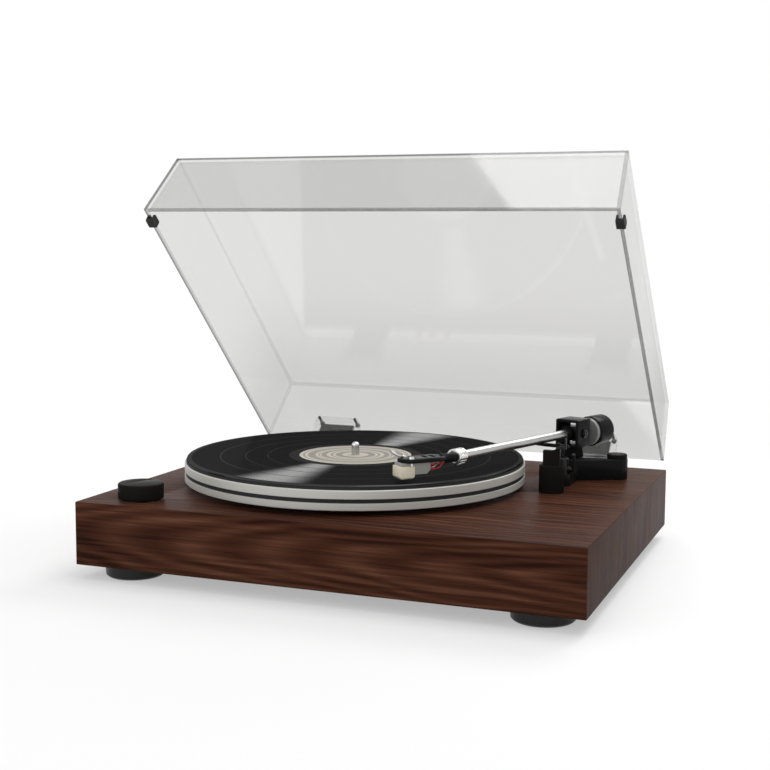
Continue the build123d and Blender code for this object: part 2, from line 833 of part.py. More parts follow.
nodes["rear_panel"] = make_rear_panel()
nodes["phono_jacks"] = Compound(children=[phono_jack(jack_left), phono_jack(jack_right)])
nodes["earth_terminal"] = make_earth_terminal()
nodes["power_inlet"] = make_power_inlet()
nodes["level_switch"] = make_level_switch()
nodes["level_slider"] = make_level_slider()
nodes["phono_board"] = make_phono_board()


# Hinges, drawn closed and then turned to the open angle

lid_back = plinth_back - lid_back_inset
rim_z = plinth_top + lid_closed_gap
lid_front = lid_back - lid_l
lid_top = rim_z + lid_h
hinge_axis = Axis((0, hinge_y, hinge_z), (1, 0, 0))
leaf_y0 = lid_back + (socket_t - hinge_leaf_t) / 2 + 0.6
leaf_y1 = leaf_y0 + hinge_leaf_t
leaf_top = rim_z + hinge_leaf_in
hinge_spots = (-hinge_x, hinge_x)
pin_r = hinge_pin_dia / 2
knuckle_r = hinge_knuckle_dia / 2
knuckle_gap = 0.3


def opened(shape):
    return shape.rotate(hinge_axis, -lid_open_deg)


def hinge_base(x):
    """A plate on the plinth's back with two ears that hold the pin."""
    half = hinge_w / 2
    y1 = plinth_back + hinge_plate_t
    top_mid = hinge_z - knuckle_r - 1.5
    low = hinge_z - hinge_plate_h
    body = block(-half, half, plinth_back, y1, low, top_mid)
    ear_in = hinge_knuckle_w / 2 + knuckle_gap
    for x0, x1 in ((-half, -ear_in), (ear_in, half)):
        body += block(x0, x1, plinth_back, hinge_y, top_mid - 4, hinge_z + knuckle_r - 1)
        body += rod_x(knuckle_r, x0, x1, hinge_y, hinge_z)
    body -= rod_x(pin_r + screw_fit, -half - 1, half + 1, hinge_y, hinge_z)
    for sx in (-1, 1):
        body -= rod_y(screw_dia / 2 + screw_fit, plinth_back - 1, y1 + 1, sx * hinge_screw_dx, hinge_screw_z)
    return Pos(plinth_centre_x + x, 0, 0) * body


def hinge_leaf(x):
    half_low, half_high = hinge_knuckle_w / 2, hinge_w / 2
    neck_top = rim_z - 0.8
    body = rod_x(knuckle_r, -half_low, half_low, hinge_y, hinge_z)
    body += block(-half_low, half_low, leaf_y0, hinge_y, hinge_z - 3, hinge_z + 3)
    body += block(-half_low, half_low, leaf_y0, leaf_y1, hinge_z - 3, neck_top + 1)
    body += block(-half_high, half_high, leaf_y0, leaf_y1, neck_top, leaf_top)
    body -= rod_x(pin_r + running_fit, -half_low - 1, half_low + 1, hinge_y, hinge_z)
    return opened(Pos(plinth_centre_x + x, 0, 0) * body)


def make_hinge_pins():
    half = hinge_w / 2
    return Compound(children=[
        Pos(plinth_centre_x + x, 0, 0) * (
            rod_x(pin_r, -half, half, hinge_y, hinge_z) + rod_x(pin_r + 1.2, half, half + 1.2, hinge_y, hinge_z))
        for x in hinge_spots])


def hinge_screws():
    out = Rot(-90, 0, 0) * screw(screw_dia, hinge_plate_t + 9, screw_head_dia, screw_head_h, 0, 0, 0)
    return [Pos(x, plinth_back + hinge_plate_t, z) * out for x, z in hinge_screw_spots()]


def hinge_socket(x):
    """A clear pocket on the cover's back wall that takes the hinge leaf."""
    half = socket_w / 2
    body = block(-half, half, lid_back, lid_back + socket_t, rim_z, rim_z + socket_h)
    body = fillet(body.edges().filter_by(Axis.Y).group_by(Axis.Z)[-1], 6.0)
    slot = hinge_w / 2 + loose_fit
    body -= block(-slot, slot, leaf_y0 - loose_fit, leaf_y1 + loose_fit, rim_z - 1, leaf_top + loose_fit)
    for sx in (-1, 1):
        body -= rod_y(small_screw_dia / 2 + screw_fit, lid_back - 1, lid_back + socket_t + 1,
                      sx * socket_screw_x, rim_z + socket_screw_z)
    return opened(Pos(plinth_centre_x + x, 0, 0) * body)


def make_socket_screws():
    group = []
    length = socket_t + lid_wall
    for x in hinge_spots:
        for sx in (-1, 1):
            head = screw(small_screw_dia, length, small_head_dia, small_head_h, 0, 0, 0)
            place = Pos(plinth_centre_x + x + sx * socket_screw_x, lid_back + socket_t, rim_z + socket_screw_z)
            group.append(opened(place * (Rot(-90, 0, 0) * head)))
    return Compound(children=group)


nodes["hinge_bases"] = Compound(children=[hinge_base(x) for x in hinge_spots])
nodes["hinge_leaves"] = Compound(children=[hinge_leaf(x) for x in hinge_spots])
nodes["hinge_sockets"] = Compound(children=[hinge_socket(x) for x in hinge_spots])
nodes["hinge_pins"] = make_hinge_pins()
nodes["case_screws"] = Compound(children=bottom_screws() + bearing_screws() + motor_screws() + panel_screws())
nodes["mounting_screws"] = Compound(children=foot_screws() + hinge_screws())
nodes["socket_screws"] = make_socket_screws()


# Clear cover and its bumpers

def lid_section(inset, z):
    """The cover's rectangle at a height, drawn in by its draft and by a wall."""
    share = (z - rim_z) / lid_h
    x_half = lid_w / 2 - lid_side_draft * share - inset
    y0 = lid_front + lid_front_draft * share + inset
    y1 = lid_back - inset
    middle = Pos(plinth_centre_x, (y0 + y1) / 2, z)
    return middle * Rectangle(2 * x_half, y1 - y0)


def make_dust_cover():
    outer = loft([lid_section(0, rim_z), lid_section(0, lid_top)], ruled=True)
    outer = fillet(outer.faces().sort_by(Axis.Z)[-1].edges(), lid_edge)
    inner = loft([lid_section(lid_wall, rim_z - 1), lid_section(lid_wall, lid_top - lid_wall)], ruled=True)
    body = outer - inner
    for x in hinge_spots:
        for sx in (-1, 1):
            body -= rod_y(small_screw_dia / 2 + screw_fit, lid_back - lid_wall - 2, lid_back + 1,
                          plinth_centre_x + x + sx * socket_screw_x, rim_z + socket_screw_z)
    return opened(body)


def make_lid_bumpers():
    group = []
    y = lid_front + bumper_from_front
    for sx in (-1, 1):
        x_mid = plinth_centre_x + sx * (lid_w / 2 - lid_wall / 2)
        pad = block(x_mid - bumper_w / 2, x_mid + bumper_w / 2, y - bumper_len / 2, y + bumper_len / 2,
                    plinth_top + running_fit, rim_z + 5)
        pad = fillet(pad.edges().filter_by(Axis.X), 1.5)
        slot = lid_wall / 2 + 0.4
        pad -= block(x_mid - slot, x_mid + slot, y - bumper_len, y + bumper_len, rim_z, rim_z + 9)
        group.append(opened(pad))
    return Compound(children=group)


nodes["dust_cover"] = make_dust_cover()
nodes["lid_bumpers"] = make_lid_bumpers()


# Tonearm. Its own frame has the pivot at the origin, +X along the tube to the
# head, +Y to the outer side and +Z up.

arm_dir = Vector(-sin(radians(arm_yaw)), -cos(radians(arm_yaw)), 0)
arm_frame = Plane(origin=(arm_x, arm_y, arm_z), x_dir=arm_dir, z_dir=(0, 0, 1)).location
bend_at = collar_at + collar_len / 2 + 3
head_frame = arm_frame * Location((bend_at, 0, 0), (0, 0, -head_offset))
tube_r = tube_dia / 2
yoke_in = carrier_half_w + yoke_gap
yoke_out = yoke_in + yoke_plate
turret_low = plinth_top + base_h + running_fit * 4 - arm_z
screw_r = pivot_screw_dia / 2
cone_r = 1.5


def make_arm_base():
    """The casting on the plinth: a round seat for the turret and a lobe for the dial."""
    reach = hypot(dial_lobe_x, dial_lobe_y)
    turn = degrees(atan2(dial_lobe_y, dial_lobe_x))
    body = extrude(tapered_outline(base_round, dial_lobe_round, reach), base_h)
    body = chamfer(body.edges().group_by(Axis.Z)[-1], 0.8)
    body = Rot(0, 0, turn) * body
    body += block(lift_x - bridge_w / 2, lift_x + bridge_w / 2, lift_y, -base_round + 3, 0, bridge_h)
    body += disc(bridge_w / 2, 0, bridge_h, lift_x, lift_y)
    body -= disc(lift_dia / 2 + running_fit, 2, base_h, lift_x, lift_y)
    body += disc(arm_stem_dia / 2, -arm_stem_len, 0.1)
    body -= disc(arm_post_dia / 2 + running_fit, -arm_stem_len + 4, base_h + 1)
    body -= disc(2.5 + running_fit, base_h - 8, base_h + 1, dial_lobe_x, dial_lobe_y)
    return Pos(arm_x, arm_y, plinth_top) * body


def make_arm_nut():
    top = plinth_ceiling
    washer = disc(14, top - 1.5, top)
    nut = extrude(RegularPolygon(12, 6), 5)
    body = washer + Pos(0, 0, top - 6.4) * nut
    body -= disc(arm_stem_dia / 2 + running_fit, top - 8, top + 1)
    return Pos(arm_x, arm_y, 0) * body


def make_anti_skate_dial():
    radius = dial_dia / 2
    lathe = [(0, 0), (radius - 0.5, 0), (radius, 0.5), (radius, dial_h - 0.7), (radius - 0.7, dial_h), (0, dial_h)]
    body = turned(lathe) + disc(2.5, -7.5, 0.1)
    body -= block(-0.5, 0.5, radius - 5, radius + 1, dial_h - 0.5, dial_h + 1)
    return Pos(arm_x + dial_lobe_x, arm_y + dial_lobe_y, plinth_top + base_h + running_fit) * body


def make_arm_turret():
    """The yoke that swings: a round foot, a floor, two cheeks and a roof."""
    low = turret_low
    floor = -yoke_below
    body = disc(turret_dia / 2, low, floor + 0.5)
    body = chamfer(body.edges().group_by(Axis.Z)[0], 0.6)
    body += block(-yoke_half_l, yoke_half_l, -yoke_out, yoke_out, floor, floor + yoke_bar)
    body += block(-yoke_half_l, yoke_half_l, -yoke_out, yoke_out, yoke_above - yoke_bar, yoke_above)
    for s in (-1, 1):
        y0, y1 = sorted((s * yoke_in, s * yoke_out))
        body += block(-yoke_half_l, yoke_half_l, y0, y1, floor, yoke_above)
    body = fillet(body.edges().filter_by(Axis.X).group_by(Axis.Z)[-1], 1.6)
    body -= rod_y(screw_r + screw_fit, -yoke_out - 1, yoke_out + 1)
    body += disc(arm_post_dia / 2, low - base_h + 1.0, low + 0.5)
    return arm_frame * body


def make_pivot_screws():
    """Two pointed screws that carry the arm, each with its lock nut."""
    group = []
    for s in (-1, 1):
        reach = yoke_out + (5.5 if s < 0 else 2.6)
        body = rod_y(screw_r, yoke_in, reach)
        body += rod_y(screw_r + 1.3, yoke_out, yoke_out + 1.8)
        body += rod_y(cone_r, carrier_half_w - 3.0, yoke_in + 0.1)
        body -= block(-0.4, 0.4, reach - 0.8, reach + 1, -screw_r - 1, screw_r + 1)
        group.append(arm_frame * (Rot(0, 0, 0 if s > 0 else 180) * body))
    return Compound(children=group)


def make_arm_carrier():
    """The block between the cheeks, with the collar at its front and the stub behind."""
    body = block(-carrier_half_l, carrier_half_l, -carrier_half_w, carrier_half_w, -carrier_half_h, carrier_half_h)
    body = chamfer(body.edges().filter_by(Axis.X), 1.2)
    body += rod_x(tube_r + 1.6, carrier_half_l - 0.1, 15.0)
    body -= rod_x(tube_r + screw_fit, -carrier_half_l + 4, 16.0)
    body += rod_x(stub_dia / 2, -stub_end, -carrier_half_l + 0.1, 0, -stub_drop)
    for s in (-1, 1):
        y0, y1 = sorted((s * (carrier_half_w - 3.4), s * (carrier_half_w + 1)))
        body -= rod_y(cone_r + running_fit, y0, y1)
    return arm_frame * body


def make_arm_tube():
    body = rod_x(tube_r, -carrier_half_l + 4.0, collar_at - collar_len / 2)
    body -= rod_x(tube_bore / 2, -carrier_half_l, collar_at)
    return arm_frame * body


def make_locking_collar():
    radius = collar_dia / 2
    body = rod_x(radius, -collar_len / 2, collar_len / 2)
    for i in range(collar_flutes):
        angle = i * 2 * pi / collar_flutes
        y, z = radius * cos(angle), radius * sin(angle)
        body -= rod_x(0.55, -collar_len / 2 + 1.2, collar_len / 2 - 1.2, y, z)
    body -= rod_x(neck_dia / 2 + screw_fit, -0.5, collar_len)
    body -= rod_x(tube_bore / 2, -collar_len, 0)
    return arm_frame * (Pos(collar_at, 0, 0) * body)


def make_counterweight():
    radius = weight_dia / 2
    body = rod_x(radius, -weight_at - weight_len, -weight_at)
    body = chamfer(body.edges(), 1.4)
    body -= rod_x(stub_dia / 2 + running_fit, -stub_end - 5, 0)
    body -= rod_x(weight_recess_dia / 2, -weight_at - weight_len - 1, -weight_at - weight_len + weight_recess)
    return arm_frame * (Pos(0, 0, -stub_drop) * body)


def make_scale_ring():
    radius = scale_ring_dia / 2
    end = -weight_at + running_fit
    body = rod_x(radius, end, end + scale_ring_len)
    body -= rod_x(stub_dia / 2 + running_fit, end - 5, 0)
    return arm_frame * (Pos(0, 0, -stub_drop) * body)


nodes["arm_base"] = make_arm_base()
nodes["arm_nut"] = make_arm_nut()
nodes["anti_skate_dial"] = make_anti_skate_dial()
nodes["arm_turret"] = make_arm_turret()
nodes["pivot_screws"] = make_pivot_screws()
nodes["arm_carrier"] = make_arm_carrier()
nodes["arm_tube"] = make_arm_tube()
nodes["locking_collar"] = make_locking_collar()
nodes["counterweight"] = make_counterweight()
nodes["scale_ring"] = make_scale_ring()


# Headshell and cartridge. Their frame starts at the collar and turns inwards.

shell_top = shell_rise + shell_t / 2
shell_low = shell_rise - shell_t / 2
shell_end = shell_start + shell_len
cartridge_top = shell_low
cartridge_low = cartridge_top - cartridge_h
surface = -arm_z
stylus_low = surface + stylus_clear
mount_back, mount_pitch = 9.0, 12.7


def make_headshell():
    half = shell_w / 2
    taper = 5.0
    outline = Polyline(
        (shell_start, -neck_dia / 2), (shell_start + 9, -half), (shell_end - taper, -half),
        (shell_end, -half + taper), (shell_end, half - taper), (shell_end - taper, half),
        (shell_start + 9, half), (shell_start, neck_dia / 2), close=True)
    plate = extrude(Pos(0, 0, shell_low) * make_face(outline), shell_t)
    plate = chamfer(plate.edges().group_by(Axis.Z)[-1], 0.8)
    neck = rod_x(neck_dia / 2, 0, shell_start + 4) + Sphere(neck_dia / 2)
    stem = Rot(0, 0, head_offset) * rod_x(neck_dia / 2, collar_at - 0.4 - bend_at, 0)
    body = plate + (neck - block(shell_start, shell_start + 9, -9, 9, -9, shell_low)) + stem
    for s in (-1, 1):
        x = cartridge_front - mount_back
        y = s * mount_pitch / 2
        body -= Pos(x, y, shell_low - 1) * extrude(SlotOverall(7, 2.8), shell_t + 2)
    for x0 in (18.0, 25.0):
        body -= Pos(x0, 0, shell_low - 1) * extrude(SlotOverall(9, 3.2, rotation=90), shell_t + 2)
    return head_frame * body


def make_finger_lift():
    """A thin bent strip on the inner side that a fingertip lifts."""
    x0 = shell_end - 5.0
    y0 = shell_w / 2
    path = [(y0 - 6, shell_top), (y0 + 3, shell_top), (y0 + 8, shell_top + 0.8), (y0 + 13, shell_top + 2.4)]
    lower = [(0, -y, z) for y, z in path]
    upper = [(0, 0.3 - y, z + finger_t) for y, z in reversed(path)]
    strip = extrude(make_face(Polyline(*lower, *upper, close=True)), finger_w, dir=(1, 0, 0))
    return head_frame * (Pos(x0, 0, 0) * strip)


def make_cartridge():
    half = cartridge_w / 2
    x0, x1 = cartridge_front - cartridge_len, cartridge_front - stylus_len
    body = block(x0, x1, -half, half, cartridge_low, cartridge_top)
    body = chamfer(body.edges().filter_by(Axis.Y).group_by(Axis.Z)[0].sort_by(Axis.X)[0:1], 3.0)
    body += block(x1 - 0.1, cartridge_front, -half, half, cartridge_top - 2.6, cartridge_top)
    for s in (-1, 1):
        body -= disc(1.3 + screw_fit, cartridge_low - 1, cartridge_top + 1,
                     cartridge_front - mount_back, s * mount_pitch / 2)
        for z in (0.3, 0.68):
            y = s * 2.4
            body += rod_x(pin_dia / 2, x0 - pin_len, x0 + 0.1, y, cartridge_low + cartridge_h * z)
    return head_frame * body


def make_stylus_unit():
    """The stylus grip: a tapered box with the cantilever and its tip below."""
    half = stylus_w / 2
    x0, x1 = cartridge_front - stylus_len + 0.2, cartridge_front + 1.5
    top = cartridge_top - 2.6 - screw_fit
    body = block(x0, x1, -half, half, stylus_low, top)
    body = chamfer(body.edges().filter_by(Axis.Y).group_by(Axis.Z)[0], 2.0)
    body = fillet(body.edges().filter_by(Axis.X).group_by(Axis.Z)[0], 1.6)
    tip_x = (x0 + x1) / 2
    tip = Pos(tip_x, 0, surface + tip_above) * Cone(0.15, 0.7, stylus_clear - tip_above + 0.1, align=BASE)
    return head_frame * (body + tip)


def make_cartridge_screws():
    group = []
    for s in (-1, 1):
        x, y = cartridge_front - mount_back, s * mount_pitch / 2
        group.append(head_frame * screw(2.6, shell_t + 2.4, 4.6, 1.6, x, y, shell_top))
    return Compound(children=group)


def make_cartridge_leads():
    """Four fine leads from the cartridge pins back to the headshell's neck."""
    group = []
    x_pin = cartridge_front - cartridge_len - pin_len
    for s in (-1, 1):
        for z, spread in ((0.3, 1.5), (0.68, 0.8)):
            start = (x_pin - 0.3, s * 2.4, cartridge_low + cartridge_h * z)
            clip = rod_x(1.05, x_pin - 0.8, x_pin + 3.6, start[1], start[2])
            clip -= rod_x(pin_dia / 2 + screw_fit, x_pin, x_pin + 4, start[1], start[2])
            lead_z = shell_low - 1.2
            points = [start, (x_pin - 4, s * (2.4 + spread), start[2] + 0.4),
                      (x_pin - 9, s * (1.6 + spread), lead_z), (shell_start + 1.5, s * (0.6 + spread), lead_z)]
            line = FilletPolyline(*points, radius=2.0)
            profile = Plane(origin=line @ 0, z_dir=line % 0) * Circle(lead_dia / 2)
            group.append(head_frame * (sweep(profile, path=line) + clip))
    return Compound(children=group)


nodes["headshell"] = make_headshell()
nodes["finger_lift"] = make_finger_lift()
nodes["cartridge"] = make_cartridge()
nodes["stylus_unit"] = make_stylus_unit()
nodes["cartridge_screws"] = make_cartridge_screws()


# Arm lift, rest and lever, in the base's frame

bar_top = arm_height - tube_r - lift_gap
bar_low = bar_top - lift_bar_t
bar_r = -lift_y
clip_pin_x = rest_x + cradle_w / 2 - 1.4
clip_pin_z = arm_height - 1.0
clip_reach = 7.6
clip_hook = 8.5


def at_arm_base(shape):
    return Pos(arm_x, arm_y, plinth_top) * shape


def make_lift_housing():
    """The damped cylinder that stands in the base and guides the platform's rod."""
    body = disc(lift_dia / 2, 2 + running_fit, lift_h, lift_x, lift_y)
    body = chamfer(body.edges().group_by(Axis.Z)[-1], 0.6)
    body -= disc(lift_rod_dia / 2 + running_fit, lift_h - 15, lift_h + 1, lift_x, lift_y)
    hub = lift_x + lift_dia / 2
    body += rod_x(3.4, hub - 2, hub + 1.6, lift_y, lever_z)
    body -= rod_x(lever_dia / 2 + running_fit, hub - 2.6, hub + 3, lift_y, lever_z)
    return at_arm_base(body)


def make_lift_platform():
    """A rod in the housing and a curved bar below the tube, centred on the arm's pivot."""
    half = lift_bar_w / 2
    a0, a1 = radians(lift_bar_out), radians(lift_bar_in)
    mid = (a0 + a1) / 2

    def place(radius, angle):
        return (-radius * sin(angle), -radius * cos(angle))

    inner, outer = bar_r - half, bar_r + half
    edges = [
        ThreePointArc(place(outer, a0), place(outer, mid), place(outer, a1)),
        Line(place(outer, a1), place(inner, a1)),
        ThreePointArc(place(inner, a1), place(inner, mid), place(inner, a0)),
        Line(place(inner, a0), place(outer, a0))]
    bar = extrude(Pos(0, 0, bar_low) * make_face(edges), lift_bar_t)
    bar = fillet(bar.edges().filter_by(Axis.Z), 1.8)
    rod = disc(lift_rod_dia / 2, lift_h - 9, bar_low + 0.5, lift_x, lift_y)
    return at_arm_base(bar + rod)


def make_arm_rest():
    """The post with a hooked cradle on top that holds the parked tube."""
    half = cradle_w / 2
    body = disc(rest_dia / 2, 0, rest_h, rest_x, rest_y)
    body = chamfer(body.edges().group_by(Axis.Z)[-1], rest_edge)
    body += disc(rest_stud_dia / 2, -plinth_top_t - 5, 0.1, rest_x, rest_y)
    y0, y1 = rest_y - cradle_t / 2, rest_y + cradle_t / 2
    body += block(rest_x - half, rest_x + half, y0, y1, rest_h - 0.1, arm_height + cradle_prong)
    cut = tube_r + cradle_gap
    body -= rod_y(cut, y0 - 1, y1 + 1, rest_x, arm_height)
    body -= block(rest_x - half - 1, rest_x, y0 - 1, y1 + 1, arm_height - cut, arm_height + cradle_prong + 1)
    body -= block(rest_x, rest_x + cut, y0 - 1, y1 + 1, arm_height, arm_height + cradle_prong + 1)
    body -= rod_y(0.8 + running_fit, y0 - 1, y1 + 1, clip_pin_x, clip_pin_z)
    return at_arm_base(body)


nodes["lift_housing"] = make_lift_housing()
nodes["lift_platform"] = make_lift_platform()
nodes["arm_rest"] = make_arm_rest()



def make_rest_clip():
    """The clip that locks the parked arm, swung open to the outer side."""
    y1 = rest_y - cradle_t / 2 - running_fit
    y0 = y1 - clip_t
    x0, z0 = clip_pin_x, clip_pin_z
    body = rod_y(1.4, y0, y1, x0, z0)
    body += block(x0, x0 + clip_reach, y0, y1, z0 - 1.2, z0 + 1.2)
    body += block(x0 + clip_reach - clip_t, x0 + clip_reach, y0, y1, z0 - 1.2, z0 + clip_hook)
    body += rod_y(0.8, y0, rest_y + cradle_t / 2, x0, z0)
    return at_arm_base(body)


def make_cue_lever():
    hub = lift_x + lift_dia / 2
    reach = hub + 1.6 + lever_reach
    body = rod_x(lever_dia / 2, hub - 2.5, reach, lift_y, lever_z)
    paddle = block(reach - 2.4, reach, -1.9, 1.9, -1.9, lever_len)
    paddle = fillet(paddle.edges().filter_by(Axis.X).group_by(Axis.Z)[-1], 1.5)
    body += Pos(0, lift_y, lever_z) * paddle
    return at_arm_base(body)


nodes["rest_clip"] = make_rest_clip()
nodes["cue_lever"] = make_cue_lever()
nodes["cartridge_leads"] = make_cartridge_leads()

os.makedirs("parts", exist_ok=True)
for name, shape in nodes.items():
    export_step(shape, "parts/" + name + ".step")
print(len(nodes), "nodes")
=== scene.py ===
# %% [markdown]
# # A record player with its clear cover open
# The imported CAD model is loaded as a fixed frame. Every solid is already in its place and at
# its real size, in metres, with the origin on the spindle at the record's playing surface.
# Blender's work here is the surfaces: veneer, turned aluminium, vinyl and clear acrylic, and
# the small pieces whose rounded edges a plain solid doesn't have.

# %% Load the frame
import math

import bpy
from mathutils import Matrix, Vector


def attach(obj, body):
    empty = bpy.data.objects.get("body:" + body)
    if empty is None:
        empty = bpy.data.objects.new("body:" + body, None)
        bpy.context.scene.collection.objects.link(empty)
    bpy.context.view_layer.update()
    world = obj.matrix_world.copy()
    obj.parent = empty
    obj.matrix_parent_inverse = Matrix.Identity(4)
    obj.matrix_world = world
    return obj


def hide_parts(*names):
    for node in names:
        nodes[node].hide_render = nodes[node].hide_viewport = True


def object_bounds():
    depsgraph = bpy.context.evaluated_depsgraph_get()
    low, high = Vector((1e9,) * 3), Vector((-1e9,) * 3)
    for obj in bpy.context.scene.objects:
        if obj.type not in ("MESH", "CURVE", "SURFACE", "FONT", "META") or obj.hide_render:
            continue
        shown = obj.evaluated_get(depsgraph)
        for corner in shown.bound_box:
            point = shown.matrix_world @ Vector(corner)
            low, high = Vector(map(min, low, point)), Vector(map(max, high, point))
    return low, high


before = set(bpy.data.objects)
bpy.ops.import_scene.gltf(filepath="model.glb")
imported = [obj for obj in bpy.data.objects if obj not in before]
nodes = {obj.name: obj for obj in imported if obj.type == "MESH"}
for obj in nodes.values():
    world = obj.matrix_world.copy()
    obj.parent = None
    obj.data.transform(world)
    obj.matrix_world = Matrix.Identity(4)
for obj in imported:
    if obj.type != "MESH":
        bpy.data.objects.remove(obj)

CAD_BOX = [list(corner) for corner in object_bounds()]
TWO_PI = 2 * math.pi
WHITE = (1.0, 1.0, 1.0, 1.0)
RAYS_THAT_SEE = ("Is Camera Ray", "Is Glossy Ray", "Is Transmission Ray")
print("CAD nodes:", len(nodes))

# %% [markdown]
# ## Shader maths as plain Python
# A material is a graph of nodes. Wiring each Math node by hand hides the formula, so a small
# class wraps a socket and turns +, -, * and / on sockets into Math nodes. Colours are mixed
# with a Mix node, because a Math node would turn them grey. A material and the world are both
# such graphs, so both are built with the class Graph.

# %% A socket that can be calculated with
class Sock:
    def __init__(self, tree, socket):
        self.tree = tree
        self.socket = socket

    def math(self, operation, other=0.0):
        return self.tree.node("ShaderNodeMath", {"operation": operation}, {0: self, 1: other})

    def __add__(self, other):
        return self.math("ADD", other)

    __radd__ = __add__

    def __sub__(self, other):
        return self.math("SUBTRACT", other)

    def __rsub__(self, other):
        return self.tree.node("ShaderNodeMath", {"operation": "SUBTRACT"}, {0: other, 1: self})

    def __mul__(self, other):
        return self.math("MULTIPLY", other)

    __rmul__ = __mul__

    def __truediv__(self, other):
        return self.math("DIVIDE", other)

    def __pow__(self, other):
        return self.math("POWER", other)

    def sin(self):
        return self.math("SINE")

    def absolute(self):
        return self.math("ABSOLUTE")

    def over(self, edge):
        return self.math("GREATER_THAN", edge)

    def ramp(self, low, high, to_low=0.0, to_high=1.0):
        """Turns low..high into to_low..to_high, smoothly and clamped."""
        return self.tree.node("ShaderNodeMapRange", {"interpolation_type": "SMOOTHSTEP"},
                              {0: self, 1: low, 2: high, 3: to_low, 4: to_high})


# %% A tree of shader nodes
class Graph:
    def __init__(self, graph):
        self.graph = graph

    def feed(self, value, socket):
        """Wires a socket into another one, or sets its number or colour."""
        if isinstance(value, Sock):
            self.graph.links.new(value.socket, socket)
        else:
            socket.default_value = value

    def node(self, kind, settings=None, values=None, output=0):
        made = self.graph.nodes.new(kind)
        for key, value in (settings or {}).items():
            setattr(made, key, value)
        for key, value in (values or {}).items():
            self.feed(value, made.inputs[key])
        return Sock(self, made.outputs[output])

    def blend(self, share, one, other):
        """One shader at share 0 and the other at share 1."""
        return self.node("ShaderNodeMixShader", {}, {0: share, 1: one, 2: other})

    def seen(self):
        """1 for rays from the camera, off gloss and through glass, and 0 for the rest."""
        share = 0.0
        for ray in RAYS_THAT_SEE:
            share = self.node("ShaderNodeLightPath", output=ray).math("MAXIMUM", share)
        return share


# %% One material and the nodes in it
class Finish(Graph):
    """A material with a Principled shader, named for the finish that it gives."""

    def __init__(self, name, colour, roughness, metallic=0.0, **fixed):
        self.material = bpy.data.materials.new(name)
        self.material.use_nodes = True
        super().__init__(self.material.node_tree)
        self.shader = self.graph.nodes["Principled BSDF"]
        self.put("Base Color", (*colour, 1.0))
        self.put("Roughness", roughness)
        self.put("Metallic", metallic)
        for key, value in fixed.items():
            self.put(key.replace("_", " "), value)

    def put(self, name, value):
        self.feed(value, self.shader.inputs[name])

    def place(self, scale=(1, 1, 1), shift=(0, 0, 0)):
        """Object coordinates, scaled and moved."""
        point = self.node("ShaderNodeTexCoord", output="Object")
        return self.node("ShaderNodeMapping", {}, {"Vector": point, "Location": shift, "Scale": scale})

    def axes(self):
        """The x, y and z of a point of the surface."""
        split = self.graph.nodes.new("ShaderNodeSeparateXYZ")
        self.feed(self.place(), split.inputs[0])
        return [Sock(self, out) for out in split.outputs]

    def radius(self):
        """The distance of a point from the spindle's axis."""
        x, y, _ = self.axes()
        return (x * x + y * y) ** 0.5

    def noise(self, place, scale, detail=3.0, rough=0.5, twist=0.0):
        """Soft random values round 0.5, some scale of them to the metre."""
        return self.node("ShaderNodeTexNoise", {}, {
            "Vector": place, "Scale": scale, "Detail": detail, "Roughness": rough, "Distortion": twist})

    def noise_along(self, run, scale, detail):
        """Soft random values that change along one number only."""
        return self.node("ShaderNodeTexNoise", {"noise_dimensions": "1D"}, {
            "W": run, "Scale": scale, "Detail": detail})

    def mix(self, share, low, high):
        """One colour at share 0 and the other at share 1."""
        def full(colour):
            return colour if isinstance(colour, Sock) else (*colour, 1.0)
        return self.node("ShaderNodeMix", {"data_type": "RGBA"}, {0: share, 6: full(low), 7: full(high)}, 2)

    def bump(self, height, depth, strength):
        self.put("Normal", self.node("ShaderNodeBump", {}, {
            "Height": height, "Distance": depth, "Strength": strength}))

    def shine(self, share, other):
        """Mixes another shader in. The share may vary over the surface."""
        own = Sock(self, self.shader.outputs[0])
        self.feed(self.blend(share, own, other), self.graph.nodes["Material Output"].inputs["Surface"])

    def dress(self, *names):
        """Puts this finish on CAD nodes."""
        for name in names:
            nodes[name].data.materials.clear()
            nodes[name].data.materials.append(self.material)


# %% [markdown]
# ## Camera, floor and light
# The camera stands to the right of the front and a little above the plinth, where the lines of
# the plinth and the circle of the record in the photograph agree. The world is white to the
# camera, to gloss and through glass, and the floor turns to that white away from the object,
# while the light that falls on the object stays plain.

# %% Camera
VIEW_FROM = Vector((0.4471, -1.0897, 0.1961))
VIEW_TURN = math.radians(21.03)
VIEW_DOWN = math.radians(6.433)
VIEW_ROLL = math.radians(0.3315)
LENS_MM = 61.73
SENSOR_MM = 36.0


def look(turn, down, roll):
    """The camera's matrix from its turn to the left, its tilt down and its roll."""
    forward = Vector((-math.sin(turn) * math.cos(down), math.cos(turn) * math.cos(down), -math.sin(down)))
    right = Vector((math.cos(turn), math.sin(turn), 0))
    below = forward.cross(right)
    rolled_right = right * math.cos(roll) - below * math.sin(roll)
    rolled_below = right * math.sin(roll) + below * math.cos(roll)
    return Matrix((rolled_right, -rolled_below, -forward)).transposed()


camera = bpy.data.objects.new("camera", bpy.data.cameras.new("camera"))
bpy.context.collection.objects.link(camera)
camera.data.lens = LENS_MM
camera.data.sensor_width = SENSOR_MM
camera.data.clip_start = 0.02
camera.matrix_world = Matrix.Translation(VIEW_FROM) @ look(VIEW_TURN, VIEW_DOWN, VIEW_ROLL).to_4x4()
bpy.context.scene.camera = camera
bpy.context.scene.view_settings.view_transform = "Standard"

